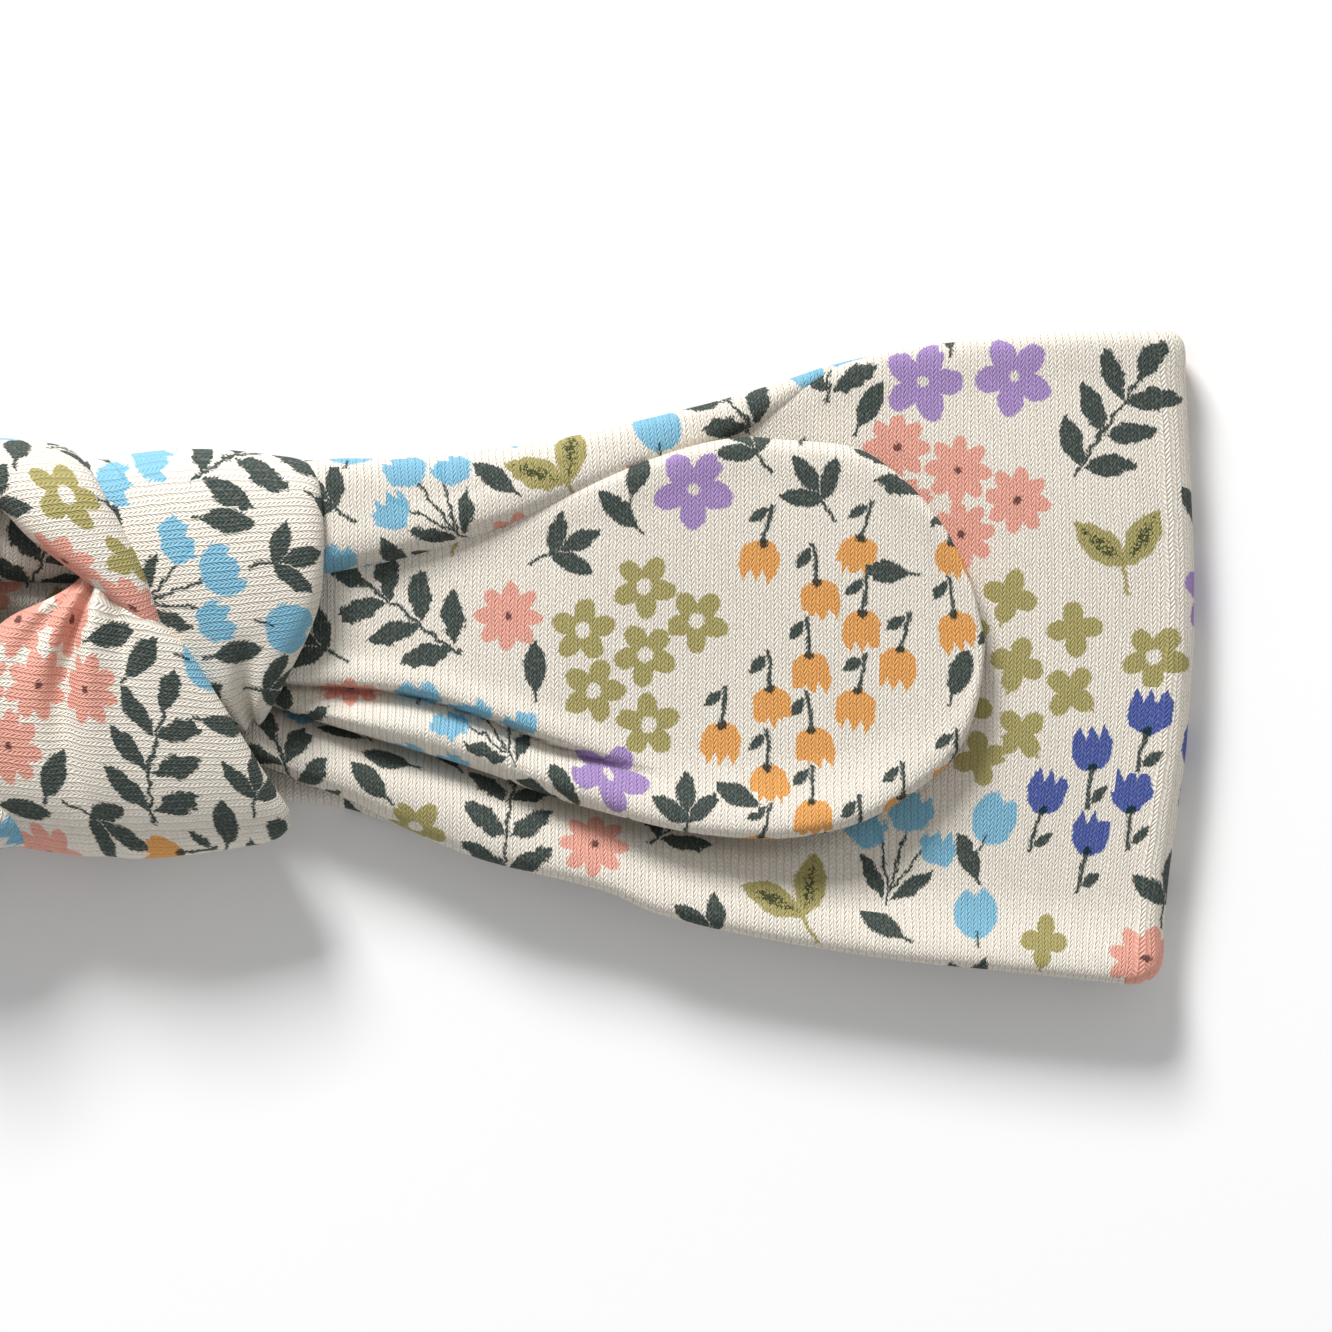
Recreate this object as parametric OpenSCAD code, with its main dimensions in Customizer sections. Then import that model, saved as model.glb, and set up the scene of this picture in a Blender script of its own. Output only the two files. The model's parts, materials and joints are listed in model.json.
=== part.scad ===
// Knotted headband of two-ply printed jersey, lying flat and folded at its two sides.
// X runs along the band, Y across it and Z up. The origin is on the table, under the
// middle of the knot. The left half is the right half turned half a turn about Z.

/* [Band] */
// Length lying flat, from side fold to side fold
flat_l = 207.8; // [170:0.1:260]
// Width of the band at its side folds
band_w = 55.4; // [44:0.1:68]
// Width of the front half where it enters the knot
neck_w = 29.6; // [22:0.1:36]
// Width of the back half behind the knot
back_w = 30.4; // [22:0.1:36]
// How far the right side fold lies below the middle of the knot
band_drop = 0.9; // [0:0.1:3]
// Free gap inside the folded loop
loop_gap = 1.8; // [1:0.1:4]

/* [Fabric] */
// Thickness of one ply of jersey
ply_t = 0.55; // [0.4:0.05:0.8]
// Thickness of the two seam allowances turned in between the plies
allowance_t = 0.9; // [0.5:0.05:1.2]
// Width of the seam allowances
allowance_w = 5; // [3:0.5:7]
// Width of the line of stitching along each edge
stitch_w = 0.3; // [0.2:0.05:0.5]
// Distance from an edge to its line of stitching
stitch_in = 0.25; // [0.15:0.05:0.5]

/* [Ears] */
// Reach of an ear beyond the knot
ear_l = 55.8; // [42:0.1:70]
// Width of an ear at its widest
ear_w = 34; // [26:0.1:42]
// Width of an ear where it leaves the knot
ear_root_w = 11.4; // [8:0.1:16]
// Height of the gap under an ear, above the band
ear_gap = 1.2; // [0.6:0.1:4]

/* [Knot] */
// Length of the knot along the band
knot_l = 59.8; // [48:0.1:72]
// Height of the knot across the band
knot_w = 34.8; // [28:0.1:42]
// Height of the knot above the band's back half
knot_h = 14.2; // [11:0.1:18]

/* [Hidden] */
$fn = 48;

// Clearance between pieces that move on each other
clear = 0.3;
// Points along each long outline
STEPS = 18;

// Heights: each panel is two plies with the allowances between them
panel_t = 2 * ply_t + allowance_t;
panel_r = panel_t / 2;
fold_r = panel_t + loop_gap / 2;
fold_z = fold_r;
back_z = panel_r;
front_z = 2 * fold_z - back_z;
front_top_z = front_z + panel_r;
ear_z = front_top_z + ear_gap + panel_r;
knot_z = panel_t + clear;

// Stations along X
knot_r = knot_l / 2;
hinge_x = knot_r - 2.9;
fold_x = flat_l / 2 - fold_r;
fold_end_x = fold_x - sqrt(pow(fold_r + clear, 2) - pow(loop_gap / 2, 2));
ear_x = knot_r + 0.1;
panel_in_x = hinge_x + panel_r;
centre_end_x = hinge_x - panel_r - clear;

// Where the band starts and stops widening between the knot and the side fold
top_flare = [hinge_x + 11, fold_x - 8];
bottom_flare = [hinge_x - 12, fold_x - 9];
back_flare = [hinge_x + 11, fold_x - 1];
// The fold narrows by this much from its middle to its ends
fold_taper = 1.2;
// The widest station of an ear, as a share of its reach
EAR_WIDEST = 0.7;

FACE = "#e6ddcd";
LINING = "#d8cdb8";
ALLOWANCE = "#c9d3d6";
THREAD = "#f6f3ea";
BLUE = "#7cc0da";
CORAL = "#eaa587";
OLIVE = "#9ba65a";

// A share from 0 to 1 that starts and stops gently between two stations
function eased(x, span) =
    let (t = min(1, max(0, (x - span[0]) / (span[1] - span[0])))) t * t * (3 - 2 * t);
function mixed(a, b, t) = a + (b - a) * t;
function reversed(path) = [for (i = [len(path) - 1:-1:0]) path[i]];
function unit(v) = v / norm(v);
// A path moved sideways to its left
function shifted(path, d) = [
    for (i = [0:len(path) - 1])
        let (along = unit(path[min(i + 1, len(path) - 1)] - path[max(i - 1, 0)]))
            path[i] + d * [-along[1], along[0]]
];
function stations(x0, x1) = [for (i = [0:STEPS]) mixed(x0, x1, i / STEPS)];

// Edges of the front half and the back half, right of the knot
function front_top(x) =
    mixed(neck_w / 2 + 0.9, band_w / 2 - band_drop, eased(x, top_flare));
function front_bottom(x) =
    -mixed(neck_w / 2 - 1.3, band_w / 2 + band_drop, eased(x, bottom_flare));
function back_edge(x) = mixed(back_w / 2, band_w / 2 - 0.8, eased(abs(x), back_flare));
// Half the width of an ear at a share of its reach
function ear_half(s) = s < EAR_WIDEST
    ? mixed(ear_root_w / 2, ear_w / 2, eased(s, [0, EAR_WIDEST]))
    : ear_w / 2 * sqrt(max(0, 1 - pow((s - EAR_WIDEST) / (1 - EAR_WIDEST), 2)));
function ear_mid(s) = mixed(-0.8, 0.5, s);
function ear_station(i) = i < STEPS
    ? EAR_WIDEST * i / STEPS
    : EAR_WIDEST + (1 - EAR_WIDEST) * sin(90 * (i - STEPS) / STEPS);

// The top edges run towards the knot and the bottom edges away from it, so that the
// cloth is always on their left
front_top_path = [for (x = stations(fold_end_x, panel_in_x)) [x, front_top(x)]];
front_bottom_path = [for (x = stations(panel_in_x, fold_end_x)) [x, front_bottom(x)]];
back_top_path = [for (x = stations(fold_end_x, panel_in_x)) [x, back_edge(x)]];
back_bottom_path = [for (x = stations(panel_in_x, fold_end_x)) [x, -back_edge(x)]];
centre_top_path = [for (x = stations(centre_end_x, -centre_end_x)) [x, back_w / 2]];
centre_bottom_path = [for (x = stations(-centre_end_x, centre_end_x)) [x, -back_w / 2]];
ear_in_x = ear_x + panel_r;
ear_path = concat(
    [for (i = [0:2 * STEPS - 1])
        let (s = ear_station(i)) [mixed(ear_in_x, ear_x + ear_l, s), ear_mid(s) - ear_half(s)]],
    [for (i = [2 * STEPS:-1:0])
        let (s = ear_station(i)) [mixed(ear_in_x, ear_x + ear_l, s), ear_mid(s) + ear_half(s)]]
);

// One flat layer of cloth with its underside at z
module layer(points, z, t) {
    translate([0, 0, z])
        linear_extrude(t)
            polygon(points);
}

// A strip of cloth along an edge, between two distances in from it
module edge_strip(path, near, far, z, t) {
    layer(concat(shifted(path, near), reversed(shifted(path, far))), z, t);
}

// The four kinds of layer in a panel whose underside is at z
module lower_ply(outline, z) {
    layer(outline, z, ply_t);
}
module upper_ply(outline, z) {
    layer(outline, z + ply_t + allowance_t, ply_t);
}
module allowances(paths, z) {
    near = stitch_in + stitch_w;
    for (path = paths)
        edge_strip(path, near, near + allowance_w, z + ply_t, allowance_t);
}
module stitching(paths, z) {
    for (path = paths)
        edge_strip(path, stitch_in, stitch_in + stitch_w, z + ply_t, allowance_t);
}

// A rod of gathered cloth along Y, round a hinge line
module crease(x, z, y0, y1) {
    translate([x, y1, z])
        rotate([90, 0, 0])
            cylinder(r = panel_r, h = y1 - y0);
}

// A soft rounded lump of cloth
module pad(centre, radii) {
    translate(centre)
        scale(radii)
            sphere(1, $fn = 24);
}

// Turns a right-hand piece into its left-hand twin
module left() {
    rotate([0, 0, 180])
        children();
}

// Back half: face ply underneath on the table, lining ply towards the head
back_centre_outline = concat(centre_top_path, centre_bottom_path);
back_outline = concat(back_top_path, back_bottom_path);
module back_centre_face() {
    color(FACE) lower_ply(back_centre_outline, 0);
}
module back_centre_lining() {
    color(LINING) upper_ply(back_centre_outline, 0);
}
module back_centre_allowance() {
    color(ALLOWANCE) allowances([centre_top_path, centre_bottom_path], 0);
}
module back_centre_stitching() {
    color(THREAD) stitching([centre_top_path, centre_bottom_path], 0);
}
module right_back_face() {
    color(FACE) lower_ply(back_outline, 0);
}
module right_back_lining() {
    color(LINING) upper_ply(back_outline, 0);
}
module right_back_allowance() {
    color(ALLOWANCE) allowances([back_top_path, back_bottom_path], 0);
}
module right_back_stitching() {
    color(THREAD) stitching([back_top_path, back_bottom_path], 0);
}

// Front half: face ply on top, lining ply towards the head
front_bottom_z = front_z - panel_r;
front_outline = concat(front_top_path, front_bottom_path);
front_paths = [front_top_path, front_bottom_path];
module right_front_face() {
    color(FACE) upper_ply(front_outline, front_bottom_z);
}
module right_front_lining() {
    color(LINING) lower_ply(front_outline, front_bottom_z);
}
module right_front_allowance() {
    color(ALLOWANCE) allowances(front_paths, front_bottom_z);
}
module right_front_stitching() {
    color(THREAD) stitching(front_paths, front_bottom_z);
}

// Ears: the two free ends of the strip
ear_bottom_z = ear_z - panel_r;
module right_ear_face() {
    color(FACE) upper_ply(ear_path, ear_bottom_z);
}
module right_ear_lining() {
    color(LINING) lower_ply(ear_path, ear_bottom_z);
}
module right_ear_allowance() {
    color(ALLOWANCE) allowances([ear_path], ear_bottom_z);
}
module right_ear_stitching() {
    color(THREAD) stitching([ear_path], ear_bottom_z);
}

// Creases, where the cloth bends as the loop opens or an ear lifts
module right_back_crease() {
    color(FACE) crease(hinge_x, back_z, -back_w / 2, back_w / 2);
}
module right_front_crease() {
    color(FACE) crease(hinge_x, front_z, front_bottom(hinge_x), front_top(hinge_x));
}
module right_ear_crease() {
    color(FACE) crease(ear_x, ear_z, ear_mid(0) - ear_root_w / 2, ear_mid(0) + ear_root_w / 2);
}

// Side fold: both plies rolled round the fold line, thinner towards the two edges
fold_half_w = band_w / 2 - 0.4;
// The middle stretch is a true cylinder round the fold line
fold_even = 0.25;
function fold_reach(y) =
    fold_r - fold_taper * pow(max(0, abs(y) / fold_half_w - fold_even) / (1 - fold_even), 2);
fold_ys = [for (share = [-1, -0.75, -0.5, -fold_even, fold_even, 0.5, 0.75, 1]) fold_half_w * share];
module fold_roll(profile) {
    translate([fold_x, -band_drop, fold_z])
        rotate([90, 0, 0])
            rotate_extrude()
                polygon(profile);
}
fold_skin = [for (y = fold_ys) [fold_reach(y), y]];
fold_inside = [for (y = fold_ys) [fold_reach(y) - ply_t, y]];
module right_fold_face() {
    color(FACE) fold_roll(concat(fold_skin, reversed(fold_inside)));
}
module right_fold_lining() {
    color(LINING) fold_roll(concat(fold_inside, [[0, fold_half_w], [0, -fold_half_w]]));
}

// Pleat: the soft roll along the band's top edge beside the knot
pleat_y = front_top(hinge_x);
module right_front_pleat() {
    color(BLUE) hull() {
        pad([knot_r + 2.8, pleat_y - 4.9, front_top_z + 2.2], [2, 4.5, 2.2]);
        pad([knot_r + 18, pleat_y - 1.7, front_top_z + 1.4], [3, 2.2, 1.4]);
        pad([knot_r + 33, pleat_y + 2.7, front_top_z + 0.7], [2, 0.9, 0.7]);
    }
}

// Knot: strands of the same strip, squeezed against each other
knot_y = knot_w / 2;
wrap_h = 0.34 * knot_h;
wrap_z = knot_z + knot_h - wrap_h;
wrap_start = [2.5, knot_y - 3.8];
wrap_tip = [knot_r - 6.4, -2.6];
module knot_right_wrap() {
    color(BLUE) hull() {
        pad([wrap_start[0], wrap_start[1], wrap_z], [3, 3, wrap_h]);
        pad([knot_r - 5, knot_y - 5, wrap_z], [5, 3.4, wrap_h]);
        pad([knot_r - 4.8, 6.5, wrap_z], [3.6, 4, wrap_h - 0.3]);
        pad([wrap_tip[0], wrap_tip[1], wrap_z - 1.2], [1.8, 1.8, 3]);
    }
}
lobe_z = front_top_z + clear + 3.2;
// The lobe comes out from under the wrap's lower edge
lobe_x = 11;
lobe_under = 4.04;
lobe_y = mixed(wrap_start[1], wrap_tip[1], (lobe_x - wrap_start[0]) / (wrap_tip[0] - wrap_start[0])) - lobe_under;
module knot_lower_lobe() {
    color(CORAL) hull() {
        pad([lobe_x, lobe_y, knot_z + 5], [2.2, 2.2, 2.6]);
        pad([2, -knot_y + 3.2, lobe_z], [3, 3, 3]);
        pad([14, -knot_y + 3.4, lobe_z + 0.6], [4, 3.4, 3.2]);
        pad([knot_r - 5.4, -knot_y + 4.6, lobe_z], [2.8, 2.8, 3]);
    }
}
module knot_core() {
    color(OLIVE) hull() {
        pad([-9, 5, knot_z + 4.4], [7, 6, 4.4]);
        pad([9, -5, knot_z + 4.4], [7, 6, 4.4]);
    }
}
// The strand that runs out into the right ear
tail_y = ear_root_w / 2;
module knot_right_tail_strand() {
    color(CORAL) hull() {
        pad([ear_x - panel_r - clear - 1.4, ear_mid(0), ear_z], [1.4, tail_y - 0.4, 1.3]);
        pad([14, 0, ear_z - 0.6], [3, 4, 2]);
    }
}
// The strand that runs out into the right front panel
module knot_right_band_strand() {
    color(OLIVE) hull() {
        pad([centre_end_x - 1.6, -0.4, front_z], [1.6, neck_w / 2 - 1.2, 1.5]);
        pad([10, 0, front_z], [4, 8, 2]);
    }
}

back_centre_face();
back_centre_lining();
back_centre_allowance();
back_centre_stitching();
right_back_face();
right_back_lining();
right_back_allowance();
right_back_stitching();
left() right_back_face();  // left_back_face
left() right_back_lining();  // left_back_lining
left() right_back_allowance();  // left_back_allowance
left() right_back_stitching();  // left_back_stitching
right_front_face();
right_front_lining();
right_front_allowance();
right_front_stitching();
left() right_front_face();  // left_front_face
left() right_front_lining();  // left_front_lining
left() right_front_allowance();  // left_front_allowance
left() right_front_stitching();  // left_front_stitching
right_ear_face();
right_ear_lining();
right_ear_allowance();
right_ear_stitching();
left() right_ear_face();  // left_ear_face
left() right_ear_lining();  // left_ear_lining
left() right_ear_allowance();  // left_ear_allowance
left() right_ear_stitching();  // left_ear_stitching
right_back_crease();
left() right_back_crease();  // left_back_crease
right_front_crease();
left() right_front_crease();  // left_front_crease
right_ear_crease();
left() right_ear_crease();  // left_ear_crease
right_fold_face();
right_fold_lining();
left() right_fold_face();  // left_fold_face
left() right_fold_lining();  // left_fold_lining
right_front_pleat();
left() right_front_pleat();  // left_front_pleat
knot_right_wrap();
left() knot_right_wrap();  // knot_left_wrap
knot_lower_lobe();
left() knot_lower_lobe();  // knot_upper_lobe
knot_right_tail_strand();
left() knot_right_tail_strand();  // knot_left_tail_strand
knot_right_band_strand();
left() knot_right_band_strand();  // knot_left_band_strand
knot_core();
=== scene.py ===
# %% [markdown]
# # A knotted headband of printed jersey
# The real headband is one long strip of cotton jersey, sewn double, turned right side out and
# tied at the front. This script dresses its plain CAD solids with soft puffy cloth.
#
# First the imported frame is loaded.

# %% Frame
import json
import math
from collections import namedtuple
import bpy
import numpy as np
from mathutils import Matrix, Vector


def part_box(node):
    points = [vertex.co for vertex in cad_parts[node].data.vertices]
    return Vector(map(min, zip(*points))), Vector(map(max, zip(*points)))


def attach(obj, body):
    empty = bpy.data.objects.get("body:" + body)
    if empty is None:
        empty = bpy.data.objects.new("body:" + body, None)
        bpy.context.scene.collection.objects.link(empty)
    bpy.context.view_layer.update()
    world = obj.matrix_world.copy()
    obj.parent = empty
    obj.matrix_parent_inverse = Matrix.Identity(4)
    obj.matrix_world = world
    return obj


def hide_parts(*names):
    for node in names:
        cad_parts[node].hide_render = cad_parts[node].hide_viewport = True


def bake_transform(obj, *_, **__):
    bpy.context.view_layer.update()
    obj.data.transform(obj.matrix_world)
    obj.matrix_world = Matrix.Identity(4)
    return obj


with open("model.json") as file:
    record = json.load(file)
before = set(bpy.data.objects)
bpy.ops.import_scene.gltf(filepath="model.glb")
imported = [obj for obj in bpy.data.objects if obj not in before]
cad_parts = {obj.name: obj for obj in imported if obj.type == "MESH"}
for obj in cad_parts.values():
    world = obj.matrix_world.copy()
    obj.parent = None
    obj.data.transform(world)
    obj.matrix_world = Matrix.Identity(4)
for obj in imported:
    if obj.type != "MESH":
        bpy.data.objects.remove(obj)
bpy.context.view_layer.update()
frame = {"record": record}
MM = 0.001


def corners(*nodes):
    """The lowest and highest corners of some CAD nodes together, in millimetres."""
    boxes = [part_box(node) for node in nodes]
    low = np.min([np.array(b[0]) for b in boxes], axis=0) / MM
    high = np.max([np.array(b[1]) for b in boxes], axis=0) / MM
    return low, high


JOINT = {joint["name"]: joint for joint in frame["record"]["behaviour"]["joints"]}
HINGE_X = JOINT["right_back_hinge"]["pos_m"][0] / MM
FOLD_X = JOINT["right_fold_hinge"]["pos_m"][0] / MM
FOLD_Z = JOINT["right_fold_hinge"]["pos_m"][2] / MM
EAR_X = JOINT["right_ear_hinge"]["pos_m"][0] / MM
FRONT_TOP_Z = corners("right_front_face")[1][2]
FRONT_MID_Z = JOINT["knot_right_hinge"]["pos_m"][2] / MM
# The back's round edges are a little thicker than its middle and rest on the table
ROUND_EDGE = 0.11
BACK_MID_Z = corners("right_back_lining")[1][2] / 2 + ROUND_EDGE
EAR_TIP_X = corners("right_ear_face")[1][0]
END_X = corners("right_fold_face")[1][0]
print("half length", round(END_X, 1), "mm, ear tip at", round(EAR_TIP_X, 1), "mm")

# %% [markdown]
# The camera looks straight down from far above, so that the band shows without perspective.
# It frames the right half: the knot is cut by the left edge of the view.

# %% Camera
VIEW_WIDTH = 113.2
VIEW_CENTRE = (58.7, -1.8)
LENS, SENSOR = 200, 36
camera_data = bpy.data.cameras.new("camera")
camera_data.lens = LENS
camera_data.sensor_width = SENSOR
camera = bpy.data.objects.new("camera", camera_data)
bpy.context.scene.collection.objects.link(camera)
camera_distance = VIEW_WIDTH * MM / SENSOR * LENS
camera.location = (VIEW_CENTRE[0] * MM, VIEW_CENTRE[1] * MM, camera_distance + FRONT_TOP_Z * MM)
bpy.context.scene.camera = camera
print("camera", round(camera_distance, 3), "m above the band")

# %% [markdown]
# ## Curves and shells
# Every stretch of the strip is a flat tube: a face ply and a lining ply joined at two turned
# edges. It is drawn between two rails, one along each edge, and its skin is pulled between
# them. The turned edges hold the seam allowances, so they are a little thicker than the middle.

# %% Curves
# Steps between two points of a spline, and along a curve that is read for its height
SPAN_STEPS, READ_STEPS = 24, 400


def spline(points, count):
    """A smooth curve through some points, cut into count even steps."""
    p = np.array(points, float)
    p = np.vstack([2 * p[0] - p[1], p, 2 * p[-1] - p[-2]])
    t = np.linspace(0, 1, SPAN_STEPS, endpoint=False)[:, None]
    pieces = []
    for a, b, c, d in zip(p[:-3], p[1:-2], p[2:-1], p[3:]):
        bend = (2 * a - 5 * b + 4 * c - d) * t**2 + (3 * b - a - 3 * c + d) * t**3
        pieces.append(b + 0.5 * ((c - a) * t + bend))
    fine = np.vstack(pieces + [p[-2][None]])
    steps = np.linalg.norm(np.diff(fine, axis=0), axis=1)
    reach = np.concatenate([[0], np.cumsum(steps)])
    at = np.linspace(0, reach[-1], count + 1)
    return np.column_stack([np.interp(at, reach, column) for column in fine.T])


def height_along(points, xs):
    """The second coordinate of a smooth curve at some values of its first."""
    curve = spline(points, READ_STEPS)
    return np.interp(xs, curve[:, 0], curve[:, 1])


def eased(x, start, end):
    """A share from 0 to 1 that starts and stops gently."""
    t = np.clip((x - start) / (end - start), 0, 1)
    return t * t * (3 - 2 * t)


def hill(x, middle, width):
    """A smooth hump that is 1 at its middle and fades over a width."""
    return np.exp(-(((x - middle) / width) ** 2))


def ripple(x, y, seed, size):
    """Soft random hills between -1 and 1, about size millimetres across."""
    rng = np.random.default_rng(seed)
    total = np.zeros(np.broadcast(x, y).shape)
    for wave in range(10):
        angle, phase = rng.uniform(0, 2 * math.pi, 2)
        pitch = size * rng.uniform(0.8, 2.2)
        total += np.sin((x * math.cos(angle) + y * math.sin(angle)) * 2 * math.pi / pitch + phase)
    return total / 4


print("a curve of 10 steps has", len(spline([(0, 0), (5, 2), (9, 0)], 10)), "stations")

# %% [markdown]
# ### One stretch of flat tube
# The real strip is sewn right sides together and turned, so its edges are round rolls with the
# seam allowances inside. It could be a plane with Solidify and Bevel, but a bevel makes the same
# edge everywhere. Here each station gets its own ring of points, so that width, thickness and
# folds change along the strip, and the same rings give the cloth map in millimetres.

# %% Edge rolls
# How far in from an edge the roll of its seam reaches, and the soft ridge behind the roll
EDGE_R = 1.15
RIDGE_IN, RIDGE_WIDE, RIDGE_HIGH_SHARE = 1.9, 1.5, 0.16


def rim(distance, radius=EDGE_R):
    """How full the cloth is at a distance in from its edge: a quarter circle, then 1."""
    inside = np.clip(distance / radius, 0, 1)
    return np.sqrt(1 - (1 - inside) ** 2)


def across(count):
    """Shares from edge to edge, closer together near both edges."""
    even = np.linspace(0, math.pi, count)
    return 0.5 - 0.5 * np.cos(even) * (0.72 + 0.28 * np.abs(np.cos(even)))


print("a roll is", round(float(rim(0.5)), 2), "full half a millimetre in from its edge")

# %% [markdown]
# The skin of a tube is a ring of points at each station: across the top from one edge to the
# other and back underneath. The ring starts in the middle of the under ply, so that the seam of
# the cloth map is hidden. A mesh skinned from rings could also be made with Bridge Edge Loops,
# but written out in order it keeps its cloth map exact.

# %% Skin of a tube
def skin(rail_a, rail_b, thick, count, lift, relief, taper):
    """Rings of points round a flat tube between two rails, and where the crown is in a ring.

    Here s runs along the tube and t across it. lift(s, t) raises the whole cloth, and
    relief(point) only its upper ply.
    """
    width_way = rail_b - rail_a
    width = np.linalg.norm(width_way, axis=1)
    normal = np.cross(np.gradient((rail_a + rail_b) / 2, axis=0), width_way)
    normal /= np.linalg.norm(normal, axis=1)[:, None] + 1e-9
    t = across(count)
    s = np.linspace(0, 1, len(rail_a))
    base = rail_a[:, None] + width_way[:, None] * t[None, :, None]
    edge = np.minimum(t, 1 - t)[None] * width[:, None]
    radius = np.minimum(EDGE_R, np.maximum(width / 2, 0.05))[:, None]
    full = rim(edge, radius)
    half = np.asarray(thick(s) if callable(thick) else np.full(len(s), thick))[:, None] / 2
    half = half * full * (1 + RIDGE_HIGH_SHARE * hill(edge, RIDGE_IN, RIDGE_WIDE))
    if taper is not None:
        half = half * taper[:, None]
    raised = lift(s[:, None], t[None]) if lift else 0 * edge
    extra = relief(base) * full if relief else 0 * edge
    up = normal[:, None]
    top = base + up * (raised + half + extra)[..., None]
    under = (base + up * (raised - half)[..., None])[:, -2:0:-1]
    split = under.shape[1] // 2
    ring = np.concatenate([under[:, split:], top, under[:, :split]], axis=1)
    return ring, under.shape[1] - split + count // 2


trial_rails = [spline([(0, y, 0), (20, y, 0)], 4) for y in (-9, 9)]
trial, trial_crown = skin(*trial_rails, thick=2, count=60, lift=None, relief=None, taper=None)
print("a trial tube has", trial.shape[1], "points in a ring, and the crown is number", trial_crown)


# %% Mesh from rings
def closed_mesh(name, rings, u, v, side):
    """A mesh from rings of points, with a cap at each end and its cloth map in millimetres."""
    stations, around = rings.shape[:2]
    index = np.arange(stations * around).reshape(stations, around)
    nxt = np.roll(index, -1, axis=1)
    quads = np.stack([index[:-1], nxt[:-1], nxt[1:], index[1:]], axis=-1).reshape(-1, 4)
    caps = [index[0][::-1].tolist(), index[-1].tolist()]
    points = rings.reshape(-1, 3) * [side, side, 1] * MM
    mesh = bpy.data.meshes.new(name)
    mesh.from_pydata(points.tolist(), [], quads.tolist() + caps)
    grid = np.stack([np.broadcast_to(u[:, None], v.shape), v], axis=-1)
    corners_of_quads = [grid[:-1, :-1], grid[:-1, 1:], grid[1:, 1:], grid[1:, :-1]]
    quad_map = np.stack(corners_of_quads, axis=2).reshape(-1, 2)
    cap_map = np.concatenate([grid[0, :-1][::-1], grid[-1, :-1]])
    cloth_map = np.concatenate([quad_map, cap_map]).astype(np.float32)
    mesh.uv_layers.new(name="cloth").data.foreach_set("uv", cloth_map.reshape(-1))
    mesh.polygons.foreach_set("use_smooth", [True] * len(mesh.polygons))
    piece = bpy.data.objects.new(name, mesh)
    bpy.context.scene.collection.objects.link(piece)
    return piece


print("a ring of points becomes a ring of faces, with one cap at each end")

# %% Shells
# The flat size of each stretch of the double strip: its widest width, its length and its area
FLAT = {}


def shell(name, rails, thick, side, count, lift=None, relief=None, start_u=0, taper=None,
          lies_flat=False):
    """A flat tube of cloth between two rails, on the right side or turned round to the left.

    Its cloth map runs from start_u along the tube, and round it from the crown. Where the tube
    lies flat, the map also follows its place across the table.
    """
    rail_a, rail_b = rails
    rings, crown = skin(rail_a, rail_b, thick, count, lift, relief, taper)
    middle = (rail_a + rail_b) / 2
    steps = np.linalg.norm(np.diff(middle, axis=0), axis=1)
    u = start_u + np.concatenate([[0], np.cumsum(steps)])
    rounds = np.linalg.norm(np.diff(rings, axis=1, append=rings[:, :1]), axis=2)
    v = np.concatenate([np.zeros((len(u), 1)), np.cumsum(rounds, axis=1)], axis=1)
    flat_width = v[:, -1] / 2
    area = np.sum(steps * flat_width[1:])
    FLAT[name] = (flat_width.max() * MM, steps.sum() * MM, area * MM * MM)
    v += (middle[:, 1] if lies_flat else 0 * u)[:, None] - v[:, crown, None]
    return closed_mesh(name, rings, u, v, side)


SIDES = {1: "right", -1: "left"}
print("stretches are made for the", " and ".join(SIDES.values()))

# %% [markdown]
# ## The band
# The band leaves the knot, widens to the side fold, turns under itself and comes back as the
# outer part of the back half. It is one stretch of cloth, so it is made as one flat tube along
# that path. A cloth simulation would need the real cut and a real knot to hold it. Drawing the
# two edges where they lie gives the same soft folds.

# %% Rails of the band
# The band and its pleat start just inside the knot, so that they can swing there
NECK_X = 22.5
FRONT_TOP = [
    (14, 14), (22, 15.2), (28, 15.7), (34.4, 15.6), (42.9, 16.2), (49.7, 17.1), (61.6, 20.3),
    (68.4, 22.1), (74.4, 24.1), (80.3, 25.4), (87.1, 26.1), (93.9, 26.6), (END_X, 26.8)]
FRONT_BOTTOM = [
    (14, -7), (22, -9.5), (28, -11.8), (32, -13.3), (36.1, -15.4), (42.9, -18.2), (53.1, -20.8),
    (58.2, -22.9), (66.7, -24.9), (78.6, -26.8), (87.1, -27.6), (95.2, -28.3), (END_X, -29.1)]
BACK_EDGE = [
    (0, 13), (27, 13.4), (36, 15.5), (42, 16.6), (53, 18.2), (66, 21.4), (80, 24.6), (95, 26.4),
    (END_X, 26.8)]
# The lower edge of the ear, which presses a hollow into the band
EAR_LOWER = [
    (20, -3), (27.6, -6.0), (41.2, -10.1), (48.5, -12.7), (53.1, -14.1), (60.8, -15.9),
    (68.4, -16.4), (74.4, -15.3), (78.6, -13.2), (82.9, -9.8), (85, -5.4), (EAR_TIP_X, 0.2)]
# Where the band's far end meets the back, and where the front starts to curve to the fold
BACK_JOIN_X = 60
FOLD_START_X = 78
# How far the fold line stops short of its furthest reach, along Y
FOLD_SHORT = [
    (-30, 3.3), (-26.8, 2.9), (-19, 2.1), (-9, 0.7), (0, 0.05), (6, 0), (14, 0.3), (25, 0.9),
    (28, 1.3)]
FRONT_STATIONS, FOLD_STATIONS, BACK_STATIONS = 100, 24, 50
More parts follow.
